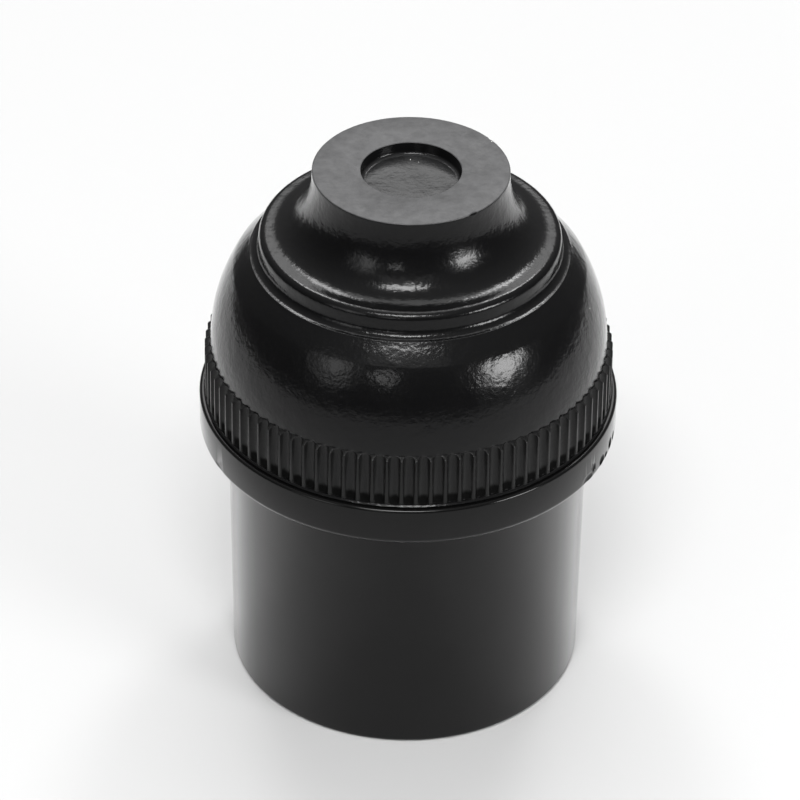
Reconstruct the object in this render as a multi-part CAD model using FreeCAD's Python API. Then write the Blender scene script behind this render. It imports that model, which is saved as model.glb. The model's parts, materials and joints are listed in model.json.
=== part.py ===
import FreeCAD, Part
import math
import os

# Pendant lamp holder for an E27 screw lamp, in millimetres. +Z points up the cord, and the origin is the
# centre of the skirt's rim. The cap stays on the cord. The skirt screws up into it and carries the insert.

V = FreeCAD.Vector
UP = V(0, 0, 1)

# Lamp sleeve, a drawn brass cup
sleeve_radius = 13.3
sleeve_sheet = 0.4
sleeve_depth = 22.6
sleeve_thread_length = 15.6
sleeve_neck_step = 0.4
sleeve_corner_round = 0.8
sleeve_lip = 0.8
slot_gap = 0.3

# Skirt, the lower moulding
skirt_height = 31.0
skirt_draft = 0.21
skirt_wall = 3.0
skirt_edge_round = 0.5
skirt_mouth_bevel = 0.4
collar_width = 3.18
collar_height = 4.71
collar_lower_round = 0.9
collar_upper_round = 0.35
ledge_gap = 1.51
ledge_height = 3.0
ledge_depth = 1.9
neck_inset = 0.71
neck_wall = 2.0
neck_bevel = 0.4
neck_lead = 1.3
thread_pitch = 2.0
thread_turns = 3

# Cap, the upper moulding
rim_gap = 0.13
thread_depth = 0.8
thread_clearance = 0.2
cap_mouth_chamfer = 0.4
rib_count = 90
rib_band_height = 6.25
rib_slope_height = 0.35
rim_band_height = 0.2
rim_band_reach = 0.15
rim_band_bevel = 0.12
ridge_inset = 0.65
ridge_draft = 0.05
ridge_land = 0.32
flute_depth = 0.42
flute_draft = 0.36
flute_foot_rise = 0.06
flute_end_drop = 0.2
first_flute_angle = 2.4
dome_inset = 0.7
notch_band_height = 0.4
dome_arc = 19.4
dome_height = 9.8
dome_wall = 2.2
shoulder_arc = 20.0
shoulder_width = 1.84
shoulder_height = 2.08
shoulder_bevel = 0.1
step_foot_round = 1.0
step_height = 2.73
step_round = 0.85
step_flat = 1.25
cove_reach = 4.6
cove_rise = 7.3
disc_height = 7.73
disc_bevel = 0.15
crown_wall = 2.4
entry_radius = 5.5
entry_depth = 1.55
entry_floor_round = 0.5
knockout_thickness = 1.2
passage_radius = 5.1
hold_down_count = 3
hold_down_angle = 30.0
hold_down_thickness = 2.0
hold_down_width = 2.6
hold_down_gap = 0.1

# Insert, the porcelain body
insert_thickness = 6.0
insert_gap = 0.3
insert_chamfer = 0.5
seat_gap = 0.05
boss_depth = 1.85
boss_width = 8.0
boss_live_end = 10.4
boss_free_end = 3.6
pocket_depth = 2.0
pocket_gap = 0.2
partition_length = 10.0
partition_thickness = 2.4
partition_height = 6.0
partition_round = 0.8

# Screws, nuts and washers
fixing_radius = 1.5
fixing_head_radius = 2.2
fixing_head_height = 1.8
fixing_engagement = 2.8
clamp_radius = 1.75
clamp_head_radius = 3.0
clamp_head_height = 2.2
clamp_engagement = 3.8
driver_slot_width = 0.8
driver_slot_share = 0.5
thread_fit = 0.03
clamp_fit = 0.05
bolt_hole_gap = 0.2
blind_hole_spare = 0.4
nut_across_flats = 5.5
nut_height = 2.4
nut_pocket_depth = 1.2
bolt_overhang = 0.6
lock_washer_radius = 2.6
lock_washer_thickness = 0.6
lock_washer_split = 0.4
sleeve_bolt_radius = 8.6

# Terminals and their clamp saddles
terminal_length = 9.2
terminal_width = 7.2
terminal_height = 5.0
terminal_inner_end = 4.4
terminal_chamfer = 0.3
terminal_fixing_offset = 2.4
terminal_clamp_offset = 6.6
saddle_length = 5.8
saddle_sheet = 0.9
saddle_ear = 1.2
saddle_gap = 0.15

# Contact leaf and its button
leaf_sheet = 0.4
leaf_width = 5.0
leaf_foot_end = 9.6
leaf_bend_gap = 0.65
leaf_bend_run = 1.2
leaf_drop = 2.2
leaf_bend_round = 0.6
button_radius = 2.3
button_height = 1.1
button_stem_radius = 1.0
button_head_radius = 1.6
button_head_height = 0.5
button_fit = 0.02

# Chips in the mouldings' edges: place around the axis in degrees, width and depth
disc_chips = [(-51.4, 1.8, 0.35), (36.7, 1.0, 0.14)]
collar_chips = [(-16.1, 2.4, 0.3), (-21.5, 1.3, 0.16), (-27.5, 1.4, 0.2), (-152.7, 1.6, 0.14)]

# Levels and radii that follow from the sizes above
ledge_radius = sleeve_radius + sleeve_sheet + ledge_gap
cavity_radius = ledge_radius + ledge_depth
skirt_mouth_radius = cavity_radius + skirt_wall
skirt_top_radius = skirt_mouth_radius + skirt_draft
collar_radius = skirt_top_radius + collar_width
neck_radius = skirt_mouth_radius - neck_inset
neck_bore_radius = neck_radius - neck_wall
ridge_radius = collar_radius - ridge_inset
dome_radius = ridge_radius - dome_inset
dome_top_radius = dome_radius - dome_arc + math.sqrt(dome_arc**2 - dome_height**2)
shoulder_radius = dome_top_radius - shoulder_width
step_radius = shoulder_radius - step_foot_round
disc_radius = step_radius - step_flat - cove_reach
cap_bore_radius = neck_radius + thread_depth + thread_clearance
insert_radius = neck_bore_radius - insert_gap
seat_z = skirt_height
collar_top_z = skirt_height + collar_height
neck_top_z = collar_top_z + thread_pitch * thread_turns + neck_lead
cap_rim_z = collar_top_z + rim_gap
rim_band_z = cap_rim_z + rim_band_height
dome_foot_z = cap_rim_z + rib_band_height
notch_band_z = dome_foot_z + notch_band_height
dome_top_z = dome_foot_z + dome_height
shoulder_z = dome_top_z + shoulder_height
step_top_z = shoulder_z + step_height
disc_top_z = step_top_z + disc_height
entry_floor_z = disc_top_z - entry_depth
passage_top_z = entry_floor_z - knockout_thickness
thread_room_z = neck_top_z + thread_clearance * 2
insert_bottom_z = seat_z + seat_gap
insert_top_z = insert_bottom_z + insert_thickness
boss_bottom_z = insert_bottom_z - boss_depth
flange_bottom_z = insert_bottom_z - sleeve_sheet
terminal_floor_z = insert_top_z - pocket_depth
terminal_top_z = terminal_floor_z + terminal_height
fixing_x = terminal_inner_end + terminal_fixing_offset
clamp_x = terminal_inner_end + terminal_clamp_offset
saddle_z = terminal_top_z + seat_gap
clamp_head_z = saddle_z + saddle_sheet + seat_gap
leaf_bend_x = fixing_x - lock_washer_radius - leaf_bend_gap
leaf_tongue_x = leaf_bend_x - leaf_bend_run
leaf_foot_z = boss_bottom_z - leaf_sheet
leaf_tongue_z = leaf_foot_z - leaf_drop
nut_floor_z = insert_top_z - nut_pocket_depth
NEAR = 0.001


class Section:
    """A half section in the XZ plane, drawn from point to point and then spun about the Z axis."""

    def __init__(self, r, z):
        self.first = V(r, 0, z)
        self.last = self.first
        self.edges = []

    def line(self, r, z):
        self.edges.append(Part.makeLine(self.last, V(r, 0, z)))
        self.last = V(r, 0, z)
        return self

    def arc(self, middle, end):
        """A round stretch through middle to end, each given as (r, z)."""
        stop = V(end[0], 0, end[1])
        self.edges.append(Part.Arc(self.last, V(middle[0], 0, middle[1]), stop).toShape())
        self.last = stop
        return self

    def bulge(self, radius, r, z):
        """A round stretch of that radius to (r, z), hollow on the outline's right-hand side."""
        chord = V(r, 0, z) - self.last
        rise = radius - math.sqrt(radius**2 - chord.Length**2 / 4)
        middle = self.last + chord * 0.5 + V(-chord.z, 0, chord.x).normalize() * rise
        return self.arc((middle.x, middle.z), (r, z))

    def cove(self, r, z):
        """A hollow quarter of an ellipse, upright where it starts and level where it ends at (r, z)."""
        reach, rise = r - self.last.x, self.last.z - z
        centre = V(r, 0, self.last.z)
        if reach > rise:
            ellipse = Part.Ellipse(centre - V(reach, 0, 0), V(r, 0, z), centre)
        else:
            ellipse = Part.Ellipse(V(r, 0, z), centre - V(reach, 0, 0), centre)
        start, stop = ellipse.parameter(self.last), ellipse.parameter(V(r, 0, z))
        self.edges.append(Part.ArcOfEllipse(ellipse, min(start, stop), max(start, stop)).toShape())
        self.last = V(r, 0, z)
        return self

    def face(self):
        self.line(self.first.x, self.first.z)
        return Part.Face(Part.Wire(self.edges))

    def spin(self):
        return self.face().revolve(V(0, 0, 0), UP, 360)


def ring_edges(shape, radius, z):
    """The shape's whole circles of that radius about the Z axis at that height."""
    circles = [e for e in shape.Edges if isinstance(e.Curve, Part.Circle)]
    return [
        e for e in circles
        if abs(e.Curve.Radius - radius) < NEAR and abs(e.Curve.Center.z - z) < NEAR
    ]


def round_ring(shape, radius, z, size):
    return shape.makeFillet(size, ring_edges(shape, radius, z))


def bevel_ring(shape, radius, z, size):
    return shape.makeChamfer(size, ring_edges(shape, radius, z))


def rod(radius, bottom_z, top_z, x=0, y=0):
    return Part.makeCylinder(radius, top_z - bottom_z, V(x, y, bottom_z))


def block(x0, x1, width, z0, z1):
    """A block from x0 to x1, centred on the XZ plane."""
    return Part.makeBox(x1 - x0, width, z1 - z0, V(x0, -width / 2, z0))


def turned(shape, degrees):
    copy = shape.copy()
    copy.rotate(V(0, 0, 0), UP, degrees)
    return copy


def chip(edge_radius, z, outward_z, angle, width, depth):
    """A ball that takes a shallow bite of that width and depth out of a moulding's edge."""
    ball = (width**2 / 4 + depth**2) / (2 * depth)
    outward = V(1, 0, outward_z).normalize()
    centre = V(edge_radius, 0, z) + outward * (ball - depth)
    return turned(Part.makeSphere(ball, centre), angle)


# Skirt


def make_skirt():
    outline = Section(cavity_radius, 0)
    outline.line(skirt_mouth_radius, 0)
    outline.line(skirt_top_radius, skirt_height)
    outline.line(collar_radius, skirt_height)
    outline.line(collar_radius, collar_top_z)
    outline.line(neck_radius, collar_top_z)
    outline.line(neck_radius, neck_top_z)
    outline.line(neck_bore_radius, neck_top_z)
    outline.line(neck_bore_radius, seat_z)
    outline.line(ledge_radius, seat_z)
    outline.line(ledge_radius, seat_z - ledge_height)
    outline.line(cavity_radius, seat_z - ledge_height)
    skirt = outline.spin()
    skirt = round_ring(skirt, skirt_mouth_radius, 0, skirt_edge_round)
    skirt = bevel_ring(skirt, cavity_radius, 0, skirt_mouth_bevel)
    skirt = round_ring(skirt, collar_radius, skirt_height, collar_lower_round)
    skirt = round_ring(skirt, collar_radius, collar_top_z, collar_upper_round)
    skirt = bevel_ring(skirt, neck_radius, neck_top_z, neck_bevel)
    inset = collar_lower_round * (1 - math.sqrt(0.5))
    for angle, width, depth in collar_chips:
        skirt = skirt.cut(chip(collar_radius - inset, skirt_height + inset, -1, angle, width, depth))
    return skirt


# Cap


def dome_at(z, inset):
    """The radius at height z of the dome's surface, moved inwards by inset."""
    arc = dome_arc - inset
    return dome_radius - dome_arc + math.sqrt(arc**2 - (z - dome_foot_z) ** 2)


def cap_outside():
    """The cap as a solid, with the recess for the cord but no cavity and no flutes."""
    middle_z = (dome_foot_z + dome_top_z) / 2
    foot_z = shoulder_z + step_foot_round
    foot_middle = step_foot_round * (1 - math.sqrt(0.5))
    outline = Section(0, entry_floor_z)
    outline.line(entry_radius, entry_floor_z)
    outline.line(entry_radius, disc_top_z)
    outline.line(disc_radius, disc_top_z)
    outline.line(disc_radius, step_top_z + cove_rise)
    outline.cove(disc_radius + cove_reach, step_top_z)
    outline.line(step_radius, step_top_z)
    outline.line(step_radius, foot_z)
    outline.arc((step_radius + foot_middle, shoulder_z + foot_middle), (shoulder_radius, shoulder_z))
    outline.line(shoulder_radius + shoulder_bevel, shoulder_z - shoulder_bevel)
    outline.bulge(shoulder_arc, dome_top_radius, dome_top_z)
    outline.arc((dome_at(middle_z, 0), middle_z), (dome_at(notch_band_z, 0), notch_band_z))
    outline.line(dome_radius, dome_foot_z)
    outline.line(ridge_radius - ridge_draft, dome_foot_z - rib_slope_height)
    outline.line(ridge_radius, rim_band_z)
    outline.line(ridge_radius + rim_band_reach, rim_band_z)
    outline.line(ridge_radius + rim_band_reach, cap_rim_z)
    outline.line(0, cap_rim_z)
    body = outline.spin()
    body = round_ring(body, entry_radius, entry_floor_z, entry_floor_round)
    body = bevel_ring(body, disc_radius, disc_top_z, disc_bevel)
    body = round_ring(body, step_radius, step_top_z, step_round)
    return bevel_ring(body, ridge_radius + rim_band_reach, rim_band_z, rim_band_bevel)


def cap_cavity(inset=0):
    """The space inside the cap. With an inset, its dome and crown lie that much deeper in the wall."""
    wall = dome_wall - inset
    crown_z = step_top_z - crown_wall + inset
    middle_z = (crown_z + thread_room_z) / 2
    outline = Section(0, crown_z)
    outline.line(dome_at(crown_z, wall), crown_z)
    outline.arc((dome_at(middle_z, wall), middle_z), (dome_at(thread_room_z, wall), thread_room_z))
    outline.line(cap_bore_radius, thread_room_z)
    outline.line(cap_bore_radius, cap_rim_z)
    outline.line(0, cap_rim_z)
    return outline.spin()


def flutes():
    """The hollows between the grip ribs: cuts that lean inwards and whose ball ends bite into the dome's foot."""
    pitch = 2 * math.pi * ridge_radius / rib_count
    half_width = (pitch - ridge_land) / 2
    arc = (half_width**2 + flute_depth**2) / (2 * flute_depth)
    centre = ridge_radius - flute_depth + arc
    end_z = dome_foot_z - flute_end_drop
    ball = Part.makeSphere(arc, FreeCAD.Vector(centre, 0, end_z))
    foot_z = rim_band_z + flute_foot_rise
    cutter = rod(arc, foot_z, end_z, centre).fuse(ball)
    lean = math.degrees(math.atan(flute_draft / (end_z - foot_z)))
    cutter.rotate(FreeCAD.Vector(centre, 0, foot_z), FreeCAD.Vector(0, 1, 0), -lean)
    return [turned(cutter, first_flute_angle + 360 * i / rib_count) for i in range(rib_count)]


def hold_downs():
    """The ribs inside the cap that keep the insert down on its ledge."""
    outer = insert_radius - insert_gap / 2
    bottom_z = insert_top_z + hold_down_gap
    lower = block(outer - hold_down_width, outer, hold_down_thickness, bottom_z, thread_room_z)
    upper = block(outer - hold_down_width, ridge_radius, hold_down_thickness, thread_room_z, step_top_z)
    rib = lower.fuse(upper.common(cap_cavity(dome_wall / 2)))
    return [turned(rib, hold_down_angle + 360 * i / hold_down_count) for i in range(hold_down_count)]


def make_cap():
    passage = rod(passage_radius, cap_rim_z, passage_top_z)
    cap = cap_outside().cut([cap_cavity(), passage])
    cap = bevel_ring(cap, cap_bore_radius, cap_rim_z, cap_mouth_chamfer)
    cap = cap.cut(flutes())
    cap = cap.fuse(hold_downs()).removeSplitter()
    for angle, width, depth in disc_chips:
        cap = cap.cut(chip(disc_radius, disc_top_z, 1, angle, width, depth))
    return cap


# Insert and lamp sleeve


def boss_outline(gap):
    """The insert's lower boss as a solid, larger all round by gap, from its foot to the insert's middle."""
    radius = boss_width / 2 + gap
    top_z = insert_bottom_z + insert_thickness / 2
    free_centre = boss_free_end - boss_width / 2
    body = block(-boss_live_end - gap, free_centre, 2 * radius, boss_bottom_z, top_z)
    return body.fuse(rod(radius, boss_bottom_z, top_z, free_centre))


def terminal_places():
    """The two terminals as (name, turn about the axis): live on the leaf's side, neutral opposite."""
    return [("live", 180), ("neutral", 0)]


def sleeve_bolt_places():
    """The two through bolts as (name, y)."""
    return [("front", -sleeve_bolt_radius), ("rear", sleeve_bolt_radius)]


def hexagon(across_flats, height):
    corner = across_flats / math.sqrt(3)
    points = [V(corner * math.cos(math.radians(a)), corner * math.sin(math.radians(a)), 0)
              for a in range(30, 391, 60)]
    return Part.Face(Part.makePolygon(points)).extrude(V(0, 0, height))


def moved(shape, x, y, z):
    copy = shape.copy()
    copy.translate(V(x, y, z))
    return copy


def make_insert():
    body = rod(insert_radius, insert_bottom_z, insert_top_z)
    body = bevel_ring(body, insert_radius, insert_top_z, insert_chamfer)
    body = body.fuse(boss_outline(0))
    half = partition_thickness / 2
    wall_top_z = insert_top_z + partition_height
    wall = block(-half, half, partition_length, insert_top_z - pocket_depth, wall_top_z)
    upright = [e for e in wall.Edges if abs(e.tangentAt(e.FirstParameter).z) > 0.5]
    body = body.fuse(wall.makeFillet(partition_round, upright))
    hole = fixing_radius + bolt_hole_gap
    end = terminal_inner_end + terminal_length
    pocket = block(terminal_inner_end - pocket_gap, end + pocket_gap,
                   terminal_width + 2 * pocket_gap, terminal_floor_z, insert_top_z + 1)
    cuts = []
    for name, angle in terminal_places():
        cuts.append(turned(pocket, angle))
        cuts.append(turned(rod(hole, boss_bottom_z, insert_top_z, fixing_x), angle))
    nut_pocket = hexagon(nut_across_flats + 2 * pocket_gap, nut_pocket_depth + 1)
    for name, y in sleeve_bolt_places():
        cuts.append(moved(nut_pocket, 0, y, nut_floor_z))
        cuts.append(rod(hole, insert_bottom_z, insert_top_z, 0, y))
    return body.cut(cuts).removeSplitter()


def make_lamp_sleeve():
    """A drawn cup, mouth down, whose closed end is narrower and cut away round the insert's boss."""
    outer = sleeve_radius + sleeve_sheet
    neck = sleeve_radius - sleeve_neck_step
    mouth_z = insert_bottom_z - sleeve_depth
    lip_z = mouth_z + sleeve_lip
    thread_end_z = lip_z + sleeve_thread_length
    outline = Section(sleeve_radius, lip_z)
    outline.line(sleeve_radius + sleeve_lip, mouth_z)
    outline.line(outer + sleeve_lip, mouth_z)
    outline.line(outer, lip_z + sleeve_sheet)
    outline.line(outer, thread_end_z + sleeve_sheet / 2)
    outline.line(neck + sleeve_sheet, thread_end_z + sleeve_neck_step + sleeve_sheet / 2)
    outline.line(neck + sleeve_sheet, insert_bottom_z)
    outline.line(0, insert_bottom_z)
    outline.line(0, flange_bottom_z)
    outline.line(neck, flange_bottom_z)
    outline.line(neck, thread_end_z + sleeve_neck_step)
    outline.line(sleeve_radius, thread_end_z)
    sleeve = outline.spin()
    sleeve = round_ring(sleeve, neck + sleeve_sheet, insert_bottom_z, sleeve_corner_round)
    sleeve = round_ring(sleeve, neck, flange_bottom_z, sleeve_corner_round - sleeve_sheet)
    hole = fixing_radius + bolt_hole_gap
    cuts = [boss_outline(slot_gap), rod(hole, flange_bottom_z, insert_bottom_z, fixing_x)]
    for name, y in sleeve_bolt_places():
        cuts.append(rod(hole, flange_bottom_z, insert_bottom_z, 0, y))
    return sleeve.cut(cuts)


# Fasteners


def screw(radius, length, head_radius, head_height):
    """A slotted screw with its head's underside at z=0 and its shank below."""
    head = rod(head_radius, 0, head_height)
    head = bevel_ring(head, head_radius, head_height, head_height / 4)
    slot = block(-head_radius, head_radius, driver_slot_width, head_height * (1 - driver_slot_share), head_height)
    shank = bevel_ring(rod(radius, -length, 0), radius, -length, radius / 5)
    return head.cut(slot).fuse(shank)


def screw_from_below(length, under_head_z, x, y):
    """A fixing screw whose head's underside faces up at that height."""
    body = screw(fixing_radius, length, fixing_head_radius, fixing_head_height)
    body.rotate(V(0, 0, 0), V(1, 0, 0), 180)
    return moved(body, x, y, under_head_z)


def lock_washer(bottom_z, x, y):
    ring = rod(lock_washer_radius, 0, lock_washer_thickness)
    ring = ring.cut(rod(fixing_radius + bolt_hole_gap, 0, lock_washer_thickness))
    split = block(0, lock_washer_radius + 1, lock_washer_split, 0, lock_washer_thickness)
    return moved(ring.cut(turned(split, 45)), x, y, bottom_z)


def nut(bottom_z, x, y):
    corner = nut_across_flats / math.sqrt(3)
    envelope = bevel_ring(rod(corner, 0, nut_height), corner, nut_height, corner - nut_across_flats / 2)
    body = hexagon(nut_across_flats, nut_height).common(envelope)
    return moved(body.cut(rod(fixing_radius + thread_fit, 0, nut_height)), x, y, bottom_z)


# Terminals and contact


def make_terminal(angle):
    end = terminal_inner_end + terminal_length
    body = block(terminal_inner_end, end, terminal_width, terminal_floor_z, terminal_top_z)
    top_edges = [e for e in body.Edges if e.BoundBox.ZMin > terminal_top_z - NEAR]
    body = body.makeChamfer(terminal_chamfer, top_edges)
    fixing_top = terminal_floor_z + fixing_engagement + blind_hole_spare
    clamp_bottom = terminal_top_z - clamp_engagement - blind_hole_spare
    body = body.cut([
        rod(fixing_radius + thread_fit, terminal_floor_z, fixing_top, fixing_x),
        rod(clamp_radius + clamp_fit, clamp_bottom, terminal_top_z, clamp_x),
    ])
    return turned(body, angle)


def make_saddle(angle):
    """The clamp plate under a clamp screw, with two ears that ride down the terminal's sides."""
    inner = terminal_width + 2 * saddle_gap
    outer = inner + 2 * saddle_sheet
    x0 = clamp_x - saddle_length / 2
    x1 = clamp_x + saddle_length / 2
    body = block(x0, x1, outer, saddle_z - saddle_ear, saddle_z + saddle_sheet)
    top_edges = [e for e in body.Edges
                 if e.BoundBox.ZMin > saddle_z + saddle_sheet - NEAR and e.BoundBox.YLength < NEAR]
    body = body.makeFillet(saddle_sheet - saddle_gap, top_edges)
    body = body.cut(block(x0, x1, inner, saddle_z - saddle_ear, saddle_z))
    hole = rod(clamp_radius + bolt_hole_gap, saddle_z, saddle_z + saddle_sheet, clamp_x)
    return turned(body.cut(hole), angle)


def make_clamp_screw(angle):
    length = clamp_head_z - terminal_top_z + clamp_engagement
    body = screw(clamp_radius, length, clamp_head_radius, clamp_head_height)
    return turned(moved(body, clamp_x, 0, clamp_head_z), angle)


def make_contact_leaf():
    """A bent strip: foot against the insert's boss, a sloping bend, and a tongue across the axis."""
    sheet = leaf_sheet
    foot_top = boss_bottom_z
    tongue_top = leaf_tongue_z + sheet
    tip = leaf_width / 2
    upper = [(-leaf_foot_end, foot_top), (-leaf_bend_x, foot_top), (-leaf_tongue_x, tongue_top),
             (tip, tongue_top)]
    lower = [(x, z - sheet) for x, z in reversed(upper)]
    slope = math.atan2(leaf_drop, leaf_bend_run)
    shift = sheet * math.tan(slope / 2)
    lower[1] = (-leaf_tongue_x - shift, leaf_tongue_z)
    lower[2] = (-leaf_bend_x - shift, leaf_foot_z)
    corners = [V(x, -leaf_width / 2, z) for x, z in upper + lower]
    strip = Part.Face(Part.makePolygon(corners + corners[:1])).extrude(V(0, leaf_width, 0))
    bends = [e for e in strip.Edges
             if e.BoundBox.YLength > leaf_width - NEAR and -leaf_foot_end + 1 < e.Vertexes[0].X < 0]
    strip = strip.makeFillet(leaf_bend_round, bends)
    reach = block(-leaf_foot_end, 0, leaf_width, leaf_tongue_z - 1, foot_top)
    strip = strip.common(reach.fuse(rod(tip, leaf_tongue_z - 1, foot_top)))
    return strip.cut([
        rod(fixing_radius + bolt_hole_gap, leaf_foot_z, foot_top, -fixing_x),
        rod(button_stem_radius + clamp_fit, leaf_tongue_z, tongue_top),
    ])


def make_contact_button():
    """The rivet in the leaf's tongue: a domed head below, which the lamp presses, and an upset head above."""
    head_z = leaf_tongue_z - button_fit
    upset_z = leaf_tongue_z + leaf_sheet + button_fit
    ball = (button_radius**2 + button_height**2) / (2 * button_height)
    half = math.asin(button_radius / ball) / 2
    middle = (ball * math.sin(half), head_z - button_height + ball * (1 - math.cos(half)))
    outline = Section(0, upset_z + button_head_height)
    outline.line(button_head_radius, upset_z + button_head_height)
    outline.line(button_head_radius, upset_z)
    outline.line(button_stem_radius, upset_z)
    outline.line(button_stem_radius, head_z)
    outline.line(button_radius, head_z)
    outline.arc(middle, (0, head_z - button_height))
    return outline.spin()


def make_parts():
    """Every piece of the holder, by name."""
    washer_z = leaf_foot_z - lock_washer_thickness
    fixing_end_z = terminal_floor_z + fixing_engagement
    nut_z = nut_floor_z + lock_washer_thickness
    bolt_end_z = nut_z + nut_height + bolt_overhang
    parts = {
        "cap": make_cap(),
        "skirt": make_skirt(),
        "insert": make_insert(),
        "lamp_sleeve": make_lamp_sleeve(),
        "contact_leaf": make_contact_leaf(),
        "contact_button": make_contact_button(),
        "contact_screw": screw_from_below(fixing_end_z - washer_z, washer_z, -fixing_x, 0),
        "contact_lock_washer": lock_washer(washer_z, -fixing_x, 0),
        "neutral_sleeve_screw": screw_from_below(fixing_end_z - flange_bottom_z, flange_bottom_z, fixing_x, 0),
    }
    for name, angle in terminal_places():
        parts[name + "_terminal"] = make_terminal(angle)
        parts[name + "_clamp_plate"] = make_saddle(angle)
        parts[name + "_clamp_screw"] = make_clamp_screw(angle)
    for name, y in sleeve_bolt_places():
        parts[name + "_sleeve_screw"] = screw_from_below(bolt_end_z - flange_bottom_z, flange_bottom_z, 0, y)
        parts[name + "_lock_washer"] = lock_washer(nut_floor_z, 0, y)
        parts[name + "_nut"] = nut(nut_z, 0, y)
    return parts


def main():
    os.makedirs("parts", exist_ok=True)
    for name, shape in make_parts().items():
        solid = shape.Solids[0]
        solid.exportStep("parts/" + name + ".step")
        print(name, len(shape.Solids), solid.isValid(), round(solid.Volume, 1), solid.BoundBox)


main()
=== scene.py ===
"""Looks of a pendant lamp holder: a black moulded cap and skirt round a porcelain insert with its lamp sleeve."""

import json
import math
import random

import bmesh
import bpy
from mathutils import Matrix, Vector

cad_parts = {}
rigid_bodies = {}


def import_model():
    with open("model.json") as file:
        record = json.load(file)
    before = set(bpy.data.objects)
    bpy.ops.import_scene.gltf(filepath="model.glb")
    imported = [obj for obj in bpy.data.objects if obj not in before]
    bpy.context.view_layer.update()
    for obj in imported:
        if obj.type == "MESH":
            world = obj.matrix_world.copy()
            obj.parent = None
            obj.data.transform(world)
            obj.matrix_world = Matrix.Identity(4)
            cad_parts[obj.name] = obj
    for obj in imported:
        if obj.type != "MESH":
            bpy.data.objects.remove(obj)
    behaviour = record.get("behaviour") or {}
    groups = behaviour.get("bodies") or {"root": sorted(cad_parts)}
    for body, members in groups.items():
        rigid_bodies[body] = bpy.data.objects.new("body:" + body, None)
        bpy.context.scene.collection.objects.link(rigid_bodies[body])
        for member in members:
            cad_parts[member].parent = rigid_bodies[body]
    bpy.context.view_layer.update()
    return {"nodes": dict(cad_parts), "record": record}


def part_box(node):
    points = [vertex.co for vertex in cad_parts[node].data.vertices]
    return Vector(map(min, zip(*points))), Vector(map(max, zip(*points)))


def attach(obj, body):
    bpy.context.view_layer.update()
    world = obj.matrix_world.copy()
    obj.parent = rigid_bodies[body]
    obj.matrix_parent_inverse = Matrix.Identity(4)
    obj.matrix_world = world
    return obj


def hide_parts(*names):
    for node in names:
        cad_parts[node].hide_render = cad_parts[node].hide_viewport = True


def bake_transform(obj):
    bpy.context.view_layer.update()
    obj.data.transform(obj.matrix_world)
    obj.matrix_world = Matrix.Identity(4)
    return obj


MM = 0.001
ORIGIN = (0.0, 0.0, 0.0)
AXIS = (0.0, 0.0, 1.0)
WELD = 0.002 * MM
SHARP_EDGE = math.radians(32)
SPARE = 1.0  # how far a cutter reaches past what it cuts, in millimetres

bpy.ops.object.select_all(action="SELECT")
bpy.ops.object.delete()
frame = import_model()
nodes = frame["nodes"]
bpy.context.scene.view_settings.view_transform = "Standard"


# Sizes in millimetres. Levels that meet another piece are read from the frame.


def low_z(node):
    """The level of the node's lowest point."""
    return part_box(node)[0].z / MM


def high_z(node):
    """The level of the node's highest point."""
    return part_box(node)[1].z / MM


def reach(node):
    """The node's greatest distance from the axis along +X."""
    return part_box(node)[1].x / MM


class Cap:
    """The upper moulding. A size named after a form is its radius from the axis."""

    bottom = low_z("cap")
    top = high_z("cap")

    rim_band = reach("cap")
    rim_band_top = bottom + 0.2
    rim_band_bevel = 0.12
    rim_bevel = 0.04

    ridge = rim_band - 0.15
    ridge_draft = 0.05
    band_top = bottom + 6.25
    rib_count = 90
    rib_land = 0.32
    rib_slope = 0.35
    rib_top_round = 0.2
    rib_top_drop = 0.12
    rib_edge_round = 0.07

    flute_depth = 0.42
    flute_draft = 0.36
    flute_foot = rim_band_top + 0.06
    flute_end = band_top - 0.2
    flute_scoop = ((0.0, 0.55), (0.5, 0.82), (1.15, 1.0))
    first_flute_angle = 2.4

    dome = ridge - 0.7
    dome_arc = 19.4
    dome_height = 9.8
    dome_top = band_top + dome_height
    dome_wall = 2.2
    dome_edge = dome - dome_arc + math.sqrt(dome_arc**2 - dome_height**2)
    dome_foot_angle = 1.2
    dome_head_trim = 0.15

    shoulder = dome_edge - 1.84
    shoulder_top = dome_top + 2.08
    shoulder_edge_round = 0.15
    shoulder_edge_inset = 0.04
    shoulder_arc = 20.0
    shoulder_start = (shoulder + 0.1, shoulder_top - 0.09)
    shoulder_end = (dome_edge - 0.03, dome_top + 0.035)

    foot_round = 1.0
    step = shoulder - foot_round
    step_top = shoulder_top + 2.73
    step_round = 0.85
    step_flat = 1.25

    cove_reach = 4.6
    cove_rise = 7.3
    disc = step - step_flat - cove_reach
    disc_edge_round = 0.16

    entry = 5.5
    entry_edge_round = 0.1
    entry_floor = top - 1.55
    entry_floor_round = 0.5
    entry_middle = 2.5

    membrane = entry_floor - 1.2
    passage = 5.1
    passage_bevel = 0.3
    crown = step_top - 2.4
    room_top = bottom + 7.57
    bore = 20.4
    bore_bevel = 0.4


class HoldDown:
    """The three ribs inside the cap that keep the insert on its ledge."""

    inner = 14.35
    outer = 16.95
    thickness = 2.0
    foot = high_z("neutral_terminal") - 2.9
    head = Cap.crown - 1.5
    lean = 1.4
    edge_bevel = 0.25
    angles = (30, 150, 270)


class Thread:
    """The coarse thread that joins skirt and cap. Its ridges lie sunk by hold into the wall that carries them."""

    pitch = 2.0
    start = Cap.bottom + 0.76
    root_half = 0.62
    crest_half = 0.18
    rise = 0.8
    hold = 0.15
    skirt_turns = 3
    cap_turns = 2.5
    steps = 96
    fading_steps = 10


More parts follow.
